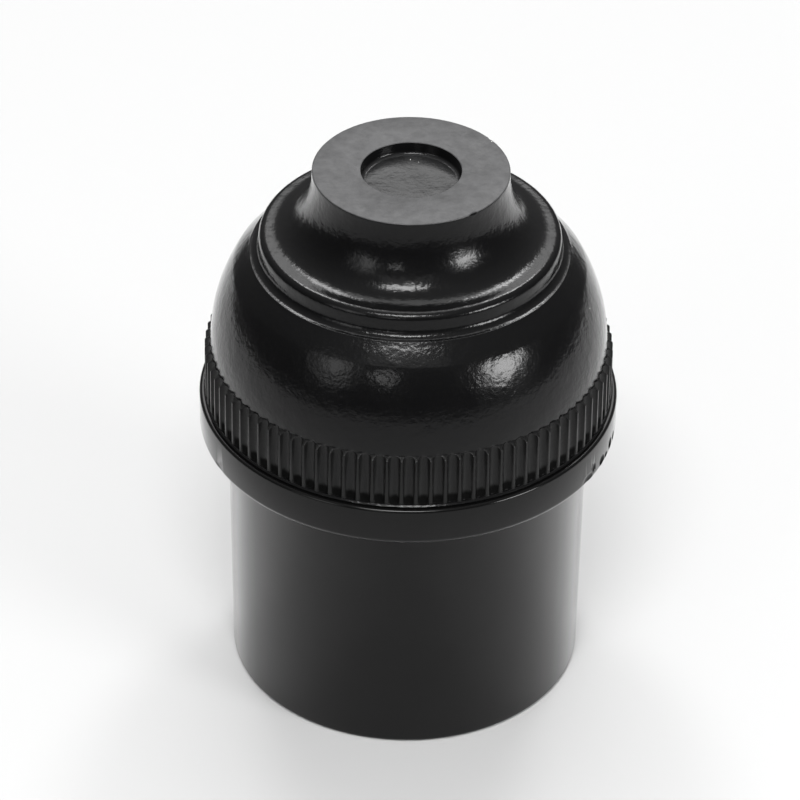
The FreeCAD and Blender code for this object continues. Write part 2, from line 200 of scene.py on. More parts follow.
class Skirt:
    """The lower moulding. A size named after a form is its radius from the axis."""

    mouth = 20.11
    mouth_round = 0.5
    draft = 0.21
    foot_round = 0.2

    collar = 23.5
    collar_bottom = low_z("insert") + 1.8
    collar_top = Cap.bottom - 0.13
    collar_lower_round = 0.9
    collar_upper_round = 0.35

    neck = 19.4
    neck_foot_round = 0.25
    neck_bevel = 0.4
    neck_bore = 17.4
    neck_bore_bevel = 0.2
    top = high_z("skirt")

    ledge = 15.21
    ledge_bottom = 28.0
    inside = 17.11
    inside_round = 0.4
    inside_bevel = 0.4


# Chips, as (angle, width, depth) on the disc's edge and (angle, level, width, depth) on the collar. Angles are in
# degrees round the axis. The slope is how far a chip faces up for each step that it faces out.
DISC_CHIP_SLOPE = 1
DISC_CHIPS = ((-51.4, 1.6, 0.2), (36.7, 1.0, 0.14))
COLLAR_CHIP_SLOPE = -0.35
COLLAR_CHIPS = (
    (-11.7, 32.75, 1.0, 0.13),
    (-15.8, 32.9, 1.3, 0.2),
    (-19.6, 32.2, 0.8, 0.16),
    (-22.9, 32.4, 1.4, 0.28),
    (-28.6, 33.1, 0.9, 0.1),
    (-31.8, 32.1, 2.2, 0.3),
    (-152.7, 32.1, 1.6, 0.12),
)


# Modelling


def deselect():
    bpy.ops.object.select_all(action="DESELECT")


def make_active(piece):
    deselect()
    piece.select_set(True)
    bpy.context.view_layer.objects.active = piece


def named(piece, name):
    """Gives the piece and its mesh a name."""
    piece.name = name
    piece.data.name = name
    return piece


def settle():
    """Puts the active object's place into its mesh."""
    bpy.ops.object.transform_apply(location=True, rotation=False, scale=False)
    return bpy.context.object


def turn_point(centre, radius, angle):
    """The point of a circle at that angle, which is in radians."""
    return centre[0] + radius * math.cos(angle), centre[1] + radius * math.sin(angle)


def bend(centre, radius, start, end, steps):
    """Points of a round stretch of a half section, from angle start to angle end in degrees."""
    angles = [math.radians(start + (end - start) * i / steps) for i in range(steps + 1)]
    return [turn_point(centre, radius, a) for a in angles]


def corner(r, z, radius, start, end, steps):
    """Points of the quarter round that takes the place of the corner at (r, z)."""
    start_x, start_z = turn_point(ORIGIN, 1, math.radians(start))
    end_x, end_z = turn_point(ORIGIN, 1, math.radians(end))
    centre = (r - radius * round(start_x + end_x), z - radius * round(start_z + end_z))
    return bend(centre, radius, start, end, steps)


def draw_section(name, points):
    """A chain of edges in the XZ plane through the points, which are (r, z) in millimetres. It stays in edit mode."""
    deselect()
    r, z = points[0]
    bpy.ops.mesh.primitive_plane_add(size=MM, location=(r * MM, 0, z * MM))
    piece = named(settle(), name)
    bpy.ops.object.mode_set(mode="EDIT")
    bpy.ops.mesh.select_all(action="SELECT")
    bpy.ops.mesh.merge(type="CENTER")
    for next_r, next_z in points[1:]:
        step = ((next_r - r) * MM, 0, (next_z - z) * MM)
        bpy.ops.mesh.extrude_region_move(TRANSFORM_OT_translate={"value": step})
        r, z = next_r, next_z
    return piece


def spin(degrees, steps, copies=False):
    """Turns what is selected about the axis, anticlockwise as seen from above."""
    bpy.ops.mesh.spin(
        steps=steps, angle=math.radians(-degrees), center=ORIGIN, axis=AXIS, dupli=copies, use_auto_merge=False
    )


def turn_selected(degrees):
    """Turns what is selected in edit mode about the axis, anticlockwise as seen from above."""
    bpy.ops.transform.rotate(value=math.radians(-degrees), orient_axis="Z", center_override=ORIGIN)


def merge_doubles():
    """Merges points that lie together. All is selected before and after."""
    bpy.ops.mesh.select_all(action="SELECT")
    bpy.ops.mesh.remove_doubles(threshold=WELD)
    bpy.ops.mesh.select_all(action="SELECT")


def smooth(piece):
    """Shades the piece smooth, apart from its sharp edges."""
    make_active(piece)
    bpy.ops.object.shade_smooth_by_angle(angle=SHARP_EDGE)
    return piece


def close_mesh(piece):
    """Ends edit mode with doubled points merged and the faces turned outwards."""
    merge_doubles()
    bpy.ops.mesh.normals_make_consistent(inside=False)
    bpy.ops.object.mode_set(mode="OBJECT")
    return smooth(piece)


def turned_piece(name, points, steps):
    """A closed or axis-to-axis half section spun all the way round."""
    piece = draw_section(name, points)
    bpy.ops.mesh.select_all(action="SELECT")
    spin(360, steps)
    return close_mesh(piece)


def pick(piece, test):
    """Selects the points of a piece in edit mode that pass the test, and no others."""
    bpy.ops.mesh.select_all(action="DESELECT")
    mesh = bmesh.from_edit_mesh(piece.data)
    for point in mesh.verts:
        if test(point.co):
            point.select_set(True)
    mesh.select_flush(True)
    bmesh.update_edit_mesh(piece.data)


def apply_modifier(piece, kind, **settings):
    """Gives the piece a modifier with those settings and makes it part of the mesh."""
    make_active(piece)
    modifier = piece.modifiers.new(kind.lower(), kind)
    for key, value in settings.items():
        setattr(modifier, key, value)
    bpy.ops.object.modifier_apply(modifier=modifier.name)


def cut_with(piece, cutter, operation="DIFFERENCE"):
    """Cuts the piece with a solid, which is used up."""
    apply_modifier(piece, "BOOLEAN", operation=operation, solver="EXACT", object=cutter)
    bpy.data.objects.remove(cutter)


def join_to(piece, others):
    """Makes the others part of the piece's mesh."""
    make_active(piece)
    for other in others:
        other.select_set(True)
    bpy.ops.object.join()
    return piece


def arc_radius(half_width, depth):
    """The radius of an arc of that half width and depth."""
    return (half_width**2 + depth**2) / (2 * depth)


def rough_ball(edge_radius, level, slope, angle, width, depth):
    """A lumpy ball that breaks a bite of that width and depth out of an edge."""
    lumpiness = 0.05
    ball = arc_radius(width / 2, depth)
    outward = Vector((1, 0, slope)).normalized()
    centre = Vector((edge_radius, 0, level)) + outward * (ball - depth)
    centre.rotate(Matrix.Rotation(math.radians(angle), 3, "Z"))
    deselect()
    bpy.ops.mesh.primitive_ico_sphere_add(subdivisions=5, radius=ball * MM, location=centre * MM)
    cutter = settle()
    lumps = random.Random(int(angle * 10))
    bpy.ops.object.mode_set(mode="EDIT")
    bpy.ops.mesh.select_all(action="SELECT")
    bpy.ops.transform.vertex_random(offset=lumpiness * depth * MM, seed=lumps.randrange(999))
    bpy.ops.object.mode_set(mode="OBJECT")
    return cutter


def thread_ridge(name, root, crest, start_z, turns):
    """One right-hand helical ridge whose ends sink into the wall that carries it."""
    t = Thread
    points = [
        (root, start_z - t.root_half),
        (crest, start_z - t.crest_half),
        (crest, start_z + t.crest_half),
        (root, start_z + t.root_half),
    ]
    ridge = draw_section(name, points + points[:1])
    merge_doubles()
    steps = int(t.steps * turns)
    bpy.ops.object.mode_set(mode="OBJECT")
    apply_modifier(
        ridge, "SCREW", angle=math.tau * turns, screw_offset=t.pitch * turns * MM, iterations=1,
        steps=steps, render_steps=steps, use_smooth_shade=True,
    )
    sink_ends(ridge, root, crest, start_z, turns)
    bpy.ops.mesh.select_all(action="DESELECT")
    bpy.ops.mesh.select_non_manifold()
    bpy.ops.mesh.edge_face_add()
    return close_mesh(ridge)


def sink_ends(ridge, root, crest, start_z, turns):
    """Lowers a thread's crest step by step over its first and last stretches."""
    t = Thread
    bpy.ops.object.mode_set(mode="EDIT")
    for step in range(t.fading_steps):
        share = 1 - step / t.fading_steps
        factor = (crest + (root - crest) * share) / crest
        for turn in (step / t.steps, turns - step / t.steps):
            angle = math.tau * (turn % 1)
            level = start_z + t.pitch * turn
            spot = Vector((math.cos(angle), math.sin(angle), 0)) * crest + Vector((0, 0, level))
            pick(ridge, lambda p: (p - spot * MM).length < t.crest_half * MM + 10 * WELD)
            bpy.ops.transform.resize(value=(factor, factor, 1), center_override=ORIGIN)


# Cap


def bow(start, end, radius, steps):
    """Points of a shallow round stretch that swells to the left of the way from start to end."""
    start, end = Vector(start), Vector(end)
    along = end - start
    left = Vector((-along.y, along.x)).normalized()
    centre = (start + end) / 2 - left * math.sqrt(radius**2 - along.length_squared / 4)
    first = math.degrees(math.atan2(start.y - centre.y, start.x - centre.x))
    last = math.degrees(math.atan2(end.y - centre.y, end.x - centre.x))
    return bend(centre, radius, first, last, steps)


def cove_points(steps):
    """The hollow quarter of an ellipse from the disc's wall down to the step."""
    c = Cap
    angles = [math.pi / 2 * i / steps for i in range(steps + 1)]
    middle_r, middle_z = c.disc + c.cove_reach, c.step_top + c.cove_rise
    return [(middle_r - c.cove_reach * math.cos(a), middle_z - c.cove_rise * math.sin(a)) for a in angles]


def cap_section():
    """The cap's half section, from the recess floor out and down to the rim, and back up inside."""
    c = Cap
    dome_centre = (c.dome - c.dome_arc, c.band_top)
    dome_head_angle = math.degrees(math.asin(c.dome_height / c.dome_arc)) - c.dome_head_trim
    inner_arc = c.dome_arc - c.dome_wall
    inner_start = math.degrees(math.asin((c.room_top - c.band_top) / inner_arc))
    inner_end = math.degrees(math.asin((c.crown - c.band_top) / inner_arc))
    shoulder_edge = (c.shoulder - c.shoulder_edge_inset, c.shoulder_top - c.shoulder_edge_round)
    rib_top = (c.ridge - c.ridge_draft - c.rib_top_round, c.band_top - c.rib_slope - c.rib_top_drop)
    points = [(0, c.entry_floor), (c.entry_middle, c.entry_floor)]
    points += corner(c.entry, c.entry_floor, c.entry_floor_round, 270, 360, 6)
    points += corner(c.entry, c.top, c.entry_edge_round, 180, 90, 3)
    points += corner(c.disc, c.top, c.disc_edge_round, 90, 0, 4)
    points += cove_points(22)
    points += corner(c.step, c.step_top, c.step_round, 90, 0, 8)
    points += bend((c.shoulder, c.shoulder_top + c.foot_round), c.foot_round, 180, 268, 8)
    points += bend(shoulder_edge, c.shoulder_edge_round, 85, 45, 3)
    points += bow(c.shoulder_start, c.shoulder_end, c.shoulder_arc, 5)
    points += bend(dome_centre, c.dome_arc, dome_head_angle, c.dome_foot_angle, 18)
    points += [(c.dome, c.band_top)]
    points += bend(rib_top, c.rib_top_round, 60, 0, 3)
    points += [(c.ridge, c.rim_band_top)]
    points += [(c.rim_band - c.rim_band_bevel, c.rim_band_top), (c.rim_band, c.rim_band_top - c.rim_band_bevel)]
    points += [(c.rim_band, c.bottom + c.rim_bevel), (c.rim_band - c.rim_bevel, c.bottom)]
    points += [(c.bore + c.bore_bevel, c.bottom), (c.bore, c.bottom + c.bore_bevel), (c.bore, c.room_top)]
    points += bend(dome_centre, inner_arc, inner_start, inner_end, 8)
    points += [(c.passage + c.passage_bevel, c.crown), (c.passage, c.crown + c.passage_bevel)]
    points += [(c.passage, c.membrane), (0, c.membrane)]
    return points


def flute_cutter():
    """A ball-ended rod that fits the hollow between two ribs, flattened at its foot and leaning in at the top.

    The scoop gives the share of the flute's depth that is cut at each height above the foot.
    """
    c = Cap
    half_width = (math.tau * c.ridge / c.rib_count - c.rib_land) / 2
    hollow = arc_radius(half_width, c.flute_depth)
    rings = [(c.flute_foot + height, share) for height, share in c.flute_scoop]
    points = [(0, c.flute_foot)] + [(hollow, ring_z) for ring_z, share in rings]
    points += bend((0, c.flute_end), hollow, 0, 90, 8)
    cutter = turned_piece("flute_cutter", points, 32)
    bpy.ops.transform.translate(value=((c.ridge - c.flute_depth + hollow) * MM, 0, 0))
    settle()
    bpy.ops.object.mode_set(mode="EDIT")
    pick(cutter, lambda p: p.z > c.flute_end * MM - WELD)
    bpy.ops.transform.translate(value=(-c.flute_draft * MM, 0, 0))
    for ring_z, share in rings:
        pick(cutter, lambda p: abs(p.z - ring_z * MM) < WELD)
        bpy.ops.transform.resize(value=(share, 1, 1), center_override=(c.ridge * MM, 0, 0))
    bpy.ops.object.mode_set(mode="OBJECT")
    return cutter


def open_sides(piece, half_angle):
    """Takes the two flat sides off a wedge, so that its copies meet without walls between them."""
    tolerance = 0.005

    def on_side(p):
        angle = abs(math.degrees(math.atan2(p.y, p.x)))
        return math.hypot(p.x, p.y) < WELD or abs(angle - half_angle) < tolerance

    bpy.ops.object.mode_set(mode="EDIT")
    pick(piece, on_side)
    bpy.ops.mesh.delete(type="ONLY_FACE")
    bpy.ops.mesh.select_all(action="SELECT")
    bpy.ops.mesh.delete_loose(use_verts=True, use_edges=True, use_faces=False)


def soften_flute(piece):
    """Rounds the sharp edges between a rib and the hollow beside it."""
    c = Cap
    least_bend = math.radians(38)
    inmost = (c.dome - 0.3) * MM
    lowest, highest = (c.rim_band_top + 0.02) * MM, (c.band_top + 0.6) * MM

    def on_band(point):
        return math.hypot(point.co.x, point.co.y) > inmost and lowest < point.co.z < highest

    bpy.ops.mesh.select_all(action="DESELECT")
    mesh = bmesh.from_edit_mesh(piece.data)
    for edge in mesh.edges:
        if all(map(on_band, edge.verts)) and edge.is_manifold and edge.calc_face_angle() > least_bend:
            edge.select_set(True)
    bmesh.update_edit_mesh(piece.data)
    bpy.ops.mesh.bevel(offset=c.rib_edge_round * MM, segments=2, affect="EDGES", clamp_overlap=True)


def hold_down(angle):
    """One rib inside the cap, whose head leans inwards under the crown."""
    h = HoldDown
    middle = ((h.inner + h.outer) / 2 * MM, 0, (h.foot + h.head) / 2 * MM)
    deselect()
    bpy.ops.mesh.primitive_cube_add(size=1, location=middle)
    rib = named(bpy.context.object, "cap_rib")
    bpy.ops.transform.resize(value=((h.outer - h.inner) * MM, h.thickness * MM, (h.head - h.foot) * MM))
    bpy.ops.object.transform_apply(location=True, rotation=False, scale=True)
    bpy.ops.object.mode_set(mode="EDIT")
    pick(rib, lambda p: p.z > middle[2])
    bpy.ops.transform.translate(value=(-h.lean * MM, 0, 0))
    bpy.ops.mesh.select_all(action="SELECT")
    bpy.ops.mesh.bevel(offset=h.edge_bevel * MM, segments=2, affect="EDGES")
    bpy.ops.mesh.select_all(action="SELECT")
    turn_selected(angle)
    return close_mesh(rib)


def make_cap():
    """One wedge with a whole hollow between two half ribs, copied all the way round."""
    c, t = Cap, Thread
    wedge_angle = 360 / c.rib_count
    wedge_steps = 4
    section = cap_section()
    piece = draw_section("cap_shell", section + section[:1])
    merge_doubles()
    bpy.ops.mesh.edge_face_add()
    turn_selected(-wedge_angle / 2)
    spin(wedge_angle, wedge_steps)
    close_mesh(piece)
    cut_with(piece, flute_cutter())
    open_sides(piece, wedge_angle / 2)
    soften_flute(piece)
    bpy.ops.mesh.select_all(action="SELECT")
    turn_selected(c.first_flute_angle)
    spin(360 - wedge_angle, c.rib_count - 1, copies=True)
    close_mesh(piece)
    for angle, width, depth in DISC_CHIPS:
        cut_with(piece, rough_ball(c.disc, c.top, DISC_CHIP_SLOPE, angle, width, depth))
    thread = thread_ridge("cap_thread", c.bore + t.hold, c.bore - t.rise, t.start + t.pitch / 2, t.cap_turns)
    join_to(piece, [thread] + [hold_down(angle) for angle in HoldDown.angles])
    return smooth(piece)


# Skirt


def skirt_section():
    """The skirt's half section, from its rim up the outside and back down inside."""
    s = Skirt
    points = corner(s.mouth, 0, s.mouth_round, 270, 360, 5)
    points += corner(s.mouth + s.draft, s.collar_bottom, s.foot_round, 180, 90, 3)
    points += corner(s.collar, s.collar_bottom, s.collar_lower_round, 270, 360, 8)
    points += corner(s.collar, s.collar_top, s.collar_upper_round, 0, 90, 5)
    points += corner(s.neck, s.collar_top, s.neck_foot_round, 270, 180, 3)
    points += [(s.neck, s.top - s.neck_bevel), (s.neck - s.neck_bevel, s.top)]
    points += [(s.neck_bore + s.neck_bore_bevel, s.top), (s.neck_bore, s.top - s.neck_bore_bevel)]
    points += [(s.neck_bore, s.collar_bottom), (s.ledge, s.collar_bottom), (s.ledge, s.ledge_bottom)]
    points += corner(s.inside, s.ledge_bottom, s.inside_round, 90, 0, 3)
    points += [(s.inside, s.inside_bevel), (s.inside + s.inside_bevel, 0)]
    return points + points[:1]


def make_skirt():
    """The skirt turned in one, with its chips and its thread."""
    s, t = Skirt, Thread
    piece = turned_piece("skirt_shell", skirt_section(), 360)
    for angle, level, width, depth in COLLAR_CHIPS:
        cut_with(piece, rough_ball(s.collar, level, COLLAR_CHIP_SLOPE, angle, width, depth))
    join_to(piece, [thread_ridge("skirt_thread", s.neck - t.hold, s.neck + t.rise, t.start, t.skirt_turns)])
    return smooth(piece)


# Lamp sleeve and contact


class Sleeve:
    """A drawn brass cup with a rolled lamp thread, which swings by wave to both sides of its middle radius."""

    sheet = 0.4
    mouth = low_z("lamp_sleeve")
    top = high_z("lamp_sleeve")
    flange = top - sheet
    flange_rings = (9.0, 3.0, 0.5)
    lip_round = 0.8
    lip = mouth + lip_round
    bore = 13.3
    neck = 12.9
    neck_rise = 0.8
    neck_round = 0.5

    pitch = 3.629
    middle = 12.74
    wave = 0.53
    thread_foot = lip + 0.7
    thread_head = lip + 14.9
    thread_start = thread_foot - 1.2 * pitch
    thread_runout = (13.15, lip + 0.15)
    turns = 6
    rows = 14
    steps = 120

    slot_half = 4.3
    slot_end = -0.4
    slot_far = -6.4
    screw_hole = 1.7
    screw_places = ((6.8, 0), (0, 8.6), (0, -8.6))


def rod(radius, low, high, x=0.0, y=0.0):
    """A plain cutter along the axis, in millimetres."""
    deselect()
    bpy.ops.mesh.primitive_cylinder_add(
        vertices=48, radius=radius * MM, depth=(high - low) * MM, location=(x * MM, y * MM, (low + high) / 2 * MM)
    )
    return settle()


def slot_cutter(radius, low, high, end_x, far_x):
    """A cutter with a round end about end_x, stretched along the XZ plane to far_x."""
    cutter = rod(radius, low, high, end_x)
    bpy.ops.object.mode_set(mode="EDIT")
    pick(cutter, lambda p: p.x < end_x * MM - WELD)
    bpy.ops.transform.translate(value=((far_x - end_x) * MM, 0, 0))
    bpy.ops.object.mode_set(mode="OBJECT")
    return cutter


def extrude_ring(radius, level, to_radius, to_level):
    """Extrudes the selected ring and moves its copy to another radius and level."""
    bpy.ops.mesh.extrude_region_move(TRANSFORM_OT_translate={"value": (0, 0, (to_level - level) * MM)})
    factor = to_radius / radius
    bpy.ops.transform.resize(value=(factor, factor, 1), center_override=(0, 0, to_level * MM))


def extend_ring(piece, level, radius, points):
    """Rounds off the open ring at that level and carries it on through the points."""
    pick(piece, lambda p: abs(p.z - level * MM) < WELD)
    bpy.ops.transform.tosphere(value=1.0)
    for to_radius, to_level in points:
        extrude_ring(radius, level, to_radius, to_level)
        radius, level = to_radius, to_level


def rolled_thread(name):
    """The wavy sheet of the lamp thread, cut off level at both ends. It stays in edit mode."""
    s = Sleeve
    shares = [i / s.rows for i in range(s.rows + 1)]
    wave = [(s.middle + s.wave * math.cos(math.tau * share), s.thread_start + s.pitch * share) for share in shares]
    piece = draw_section(name, wave)
    bpy.ops.object.mode_set(mode="OBJECT")
    apply_modifier(
        piece, "SCREW", angle=math.tau, screw_offset=s.pitch * MM, iterations=s.turns, steps=s.steps,
        render_steps=s.steps, use_merge_vertices=True, merge_threshold=WELD,
    )
    bpy.ops.object.mode_set(mode="EDIT")
    merge_doubles()
    for level, below, above in ((s.thread_foot, True, False), (s.thread_head, False, True)):
        bpy.ops.mesh.select_all(action="SELECT")
        bpy.ops.mesh.bisect(
            plane_co=(0, 0, level * MM), plane_no=(0, 0, 1), clear_inner=below, clear_outer=above
        )
    return piece


def make_lamp_sleeve():
    """The rolled thread carried on to the lip and the flange, then given its wall and its holes."""
    s = Sleeve
    piece = rolled_thread("lamp_sleeve_brass")
    foot = [s.thread_runout] + corner(s.bore, s.mouth, s.lip_round, 180, 270, 5)
    extend_ring(piece, s.thread_foot, s.middle, foot)
    head = [(s.neck, s.thread_head + s.neck_rise)] + corner(s.neck, s.flange, s.neck_round, 0, 90, 4)
    head += [(radius, s.flange) for radius in s.flange_rings]
    extend_ring(piece, s.thread_head, s.middle, head)
    bpy.ops.mesh.merge(type="CENTER")
    bpy.ops.mesh.select_all(action="SELECT")
    bpy.ops.mesh.normals_make_consistent(inside=False)
    bpy.ops.object.mode_set(mode="OBJECT")
    apply_modifier(piece, "SOLIDIFY", thickness=s.sheet * MM, offset=1, use_even_offset=True)
    low, high = s.flange - SPARE, s.top + SPARE
    cut_with(piece, slot_cutter(s.slot_half, low, high, s.slot_end, s.slot_far))
    for x, y in s.screw_places:
        cut_with(piece, rod(s.screw_hole, low, high, x, y))
    return smooth(piece)


class Leaf:
    """The bronze strip of the contact. Its foot reaches out along -X, and its tongue lies across the axis."""

    sheet = 0.4
    half_width = 2.5
    width_steps = 4
    top = high_z("contact_leaf")
    tongue = low_z("contact_leaf") + sheet
    foot_end = 9.6
    outline_far = -15.0
    slope_start = 3.55
    slope_end = 2.35
    slope_rows = 6
    bend_round = 0.6
    screw_x = 6.8
    screw_hole = 1.7
    rivet_hole = 1.05
    edge_bevel = 0.05


def leaf_profile():
    """The upper face of the leaf from its foot to its tip, as (x, z)."""
    f = Leaf
    slope = math.atan2(f.top - f.tongue, f.slope_start - f.slope_end)
    down = math.degrees(slope)
    spread = f.bend_round * math.tan(slope / 2)
    upper = bend((-f.slope_start - spread, f.top - f.bend_round), f.bend_round, 90, 90 - down, 5)
    lower = bend((-f.slope_end + spread, f.tongue + f.bend_round), f.bend_round, 270 - down, 270, 5)
    first, last = Vector(upper[-1]), Vector(lower[0])
    between = [tuple(first.lerp(last, i / f.slope_rows)) for i in range(1, f.slope_rows)]
    foot = [(-f.foot_end, f.top), (-f.screw_x, f.top)]
    return foot + upper + between + lower + [(0, f.tongue), (f.half_width, f.tongue)]


def make_contact_leaf():
    """A bronze strip bent down from the insert's boss to the middle, with its tongue's end rounded."""
    f = Leaf
    piece = draw_section("contact_leaf_bronze", leaf_profile())
    bpy.ops.mesh.select_all(action="SELECT")
    bpy.ops.transform.translate(value=(0, -f.half_width * MM, 0))
    across = (0, 2 * f.half_width / f.width_steps * MM, 0)
    for step in range(f.width_steps):
        bpy.ops.mesh.extrude_region_move(TRANSFORM_OT_translate={"value": across})
    bpy.ops.mesh.select_all(action="SELECT")
    bpy.ops.mesh.normals_make_consistent(inside=False)
    if sum(face.normal.z for face in bmesh.from_edit_mesh(piece.data).faces) < 0:
        bpy.ops.mesh.flip_normals()
    bpy.ops.object.mode_set(mode="OBJECT")
    apply_modifier(piece, "SOLIDIFY", thickness=f.sheet * MM, offset=-1, use_even_offset=True)
    outline = slot_cutter(f.half_width, f.tongue - 2 * SPARE, f.top + SPARE, 0, f.outline_far)
    cut_with(piece, outline, "INTERSECT")
    cut_with(piece, rod(f.screw_hole, f.top - SPARE, f.top + SPARE, -f.screw_x))
    cut_with(piece, rod(f.rivet_hole, f.tongue - SPARE, f.tongue + SPARE))
    apply_modifier(
        piece, "BEVEL", width=f.edge_bevel * MM, segments=2, limit_method="ANGLE", angle_limit=math.radians(50)
    )
    return smooth(piece)


# Finishes


class Wire:
    """An output of a node, on which sums are written as on a number."""

    def __init__(self, owner, socket):
        self.owner = owner
        self.socket = socket

    def sum(self, operation, *others):
        return self.owner.node("Math", {"operation": operation}, dict(enumerate(others)))

    def __add__(self, other):
        return self.sum("ADD", self, other)

    def __rsub__(self, other):
        return self.sum("SUBTRACT", other, self)

    def __mul__(self, other):
        return self.sum("MULTIPLY", self, other)

    __radd__ = __add__
    __rmul__ = __mul__

    def power(self, other):
        return self.sum("POWER", self, other)

    def above(self, start, end):
        """0 below start and 1 above end, with a smooth ramp between."""
        return self.owner.node(
            "MapRange", {"interpolation_type": "SMOOTHSTEP"}, {"Value": self, "From Min": start, "From Max": end}
        )

    def below(self, start, end):
        return 1 - self.above(start, end)

    def past(self, start_mm, end_mm):
        """As above, for a length whose limits are in millimetres."""
        return self.above(start_mm * MM, end_mm * MM)

    def short_of(self, start_mm, end_mm):
        return 1 - self.past(start_mm, end_mm)

    def other(self, output):
        """Another output of the same node."""
        return Wire(self.owner, self.socket.node.outputs[output])


class Nodes:
    """The node tree of a material or world, filled one node at a time."""

    def __init__(self, holder):
        holder.use_nodes = True
        self.tree = holder.node_tree
        self.tree.nodes.clear()

    def connect(self, socket, value):
        if isinstance(value, Wire):
            self.tree.links.new(value.socket, socket)
        else:
            socket.default_value = value

    def node(self, kind, settings=None, values=None, output=0):
        """Adds a node with its settings and the values or wires of its inputs, and gives one of its outputs."""
        made = self.tree.nodes.new("ShaderNode" + kind)
        for key, value in (settings or {}).items():
            if key == "stops":
                self.set_stops(made.color_ramp, value)
            else:
                setattr(made, key, value)
        for key, value in (values or {}).items():
            self.connect(made.inputs[key], value)
        return Wire(self, made.outputs[output])

    def set_stops(self, ramp, stops):
        """Gives a colour ramp its stops, as (position, colour) in rising order."""
        while len(ramp.elements) < len(stops):
            ramp.elements.new(0.5)
        for element, (position, colour) in zip(ramp.elements, stops):
            element.position = position
            element.color = (*colour, 1)

    def end(self, kind, surface):
        """Adds the output node, with that surface on it."""
        made = self.tree.nodes.new("ShaderNode" + kind)
        self.connect(made.inputs["Surface"], surface)
        return made

    def apart(self, vector):
        """The three numbers of a vector or colour."""
        x = self.node("SeparateXYZ", {}, {0: vector})
        return x, x.other(1), x.other(2)


class Finish(Nodes):
    """The material of one of the holder's surfaces."""

    def __init__(self, name, constants):
        self.material = bpy.data.materials.new(name)
        super().__init__(self.material)
        self.shader = self.node("BsdfPrincipled")
        self.output = self.end("OutputMaterial", self.shader)
        self.set(constants)

    def set(self, values):
        """Gives the shader's inputs their values or wires."""
        for key, value in values.items():
            self.connect(self.shader.socket.node.inputs[key], value)

    def place(self):
        """The surface point as a vector, in metres."""
        return self.node("TexCoord", output="Object")

    def stretched(self, x, y, z):
        """The surface point scaled along each axis, for marks that run one way."""
        return self.node("Mapping", {"vector_type": "POINT"}, {"Vector": self.place(), "Scale": (x, y, z)})

    def noise(self, size_mm, detail=2, roughness=0.5, vector=None, seed=None):
        """Soft random spots of about that size, from 0 to 1."""
        settings = {}
        values = {
            "Vector": vector or self.place(),
            "Scale": 1 / (size_mm * MM),
            "Detail": detail,
            "Roughness": roughness,
        }
        if seed is not None:
            settings["noise_dimensions"] = "4D"
            values["W"] = seed
        return self.node("TexNoise", settings, values, "Fac")

    def specks(self, spacing_mm, radius_mm, share):
        """Sparse dots: 1 in a dot and 0 elsewhere. Share is the part of the cells that has one."""
        scale = 1 / (spacing_mm * MM)
        cells = self.node("TexVoronoi", {}, {"Vector": self.place(), "Scale": scale, "Randomness": 1.0}, "Distance")
        chance = self.apart(cells.other("Color"))[0]
        radius = radius_mm / spacing_mm
        dot = cells.below(0.6 * radius, radius)
        return dot * chance.above(1 - share, 1 - share + 0.001)

    def bump(self, height, depth_mm, under=None):
        """A relief whose height from 0 to 1 stands for that depth."""
        values = {"Height": height, "Distance": depth_mm * MM, "Strength": 1.0}
        if under:
            values["Normal"] = under
        return self.node("Bump", {}, values)

    def mixed(self, factor, low, high):
        """A colour between low and high, each of which is a wire or a colour."""
        first_colour, second_colour, colour_result = 6, 7, 2
        low, high = [colour if isinstance(colour, Wire) else (*colour, 1) for colour in (low, high)]
        inputs = {"Factor": factor, first_colour: low, second_colour: high}
        return self.node("Mix", {"data_type": "RGBA"}, inputs, colour_result)

    def cover(self, share, colour):
        """Lays a matt coat of one colour over part of the finish."""
        coat = self.node("BsdfDiffuse", {}, {"Color": (*colour, 1)})
        covered = self.node("MixShader", {}, {"Fac": share, 1: self.shader, 2: coat})
        self.connect(self.output.inputs["Surface"], covered)


# The mouldings' gloss and colours
PHENOLIC = {"IOR": 1.3, "Specular Tint": (0.5, 0.5, 0.5, 1)}
BLACK = (0.0016, 0.0016, 0.0017)
DULLED_BLACK = (0.05, 0.05, 0.051)
# Painted light: a lighter black that lifts the ribbed band towards grey
RIB_PAINTED_LIGHT = (0.0035, 0.0035, 0.0035)
SKIRT_BLACK = (0.0015, 0.0015, 0.0015)
RUBBED_BLACK = (0.0025, 0.0025, 0.0025)
# Painted shade: the black laid over the feet of the flutes
FLUTE_FOOT_SHADE = (0.0018, 0.0018, 0.0018)
DUST = (0.5, 0.5, 0.48)


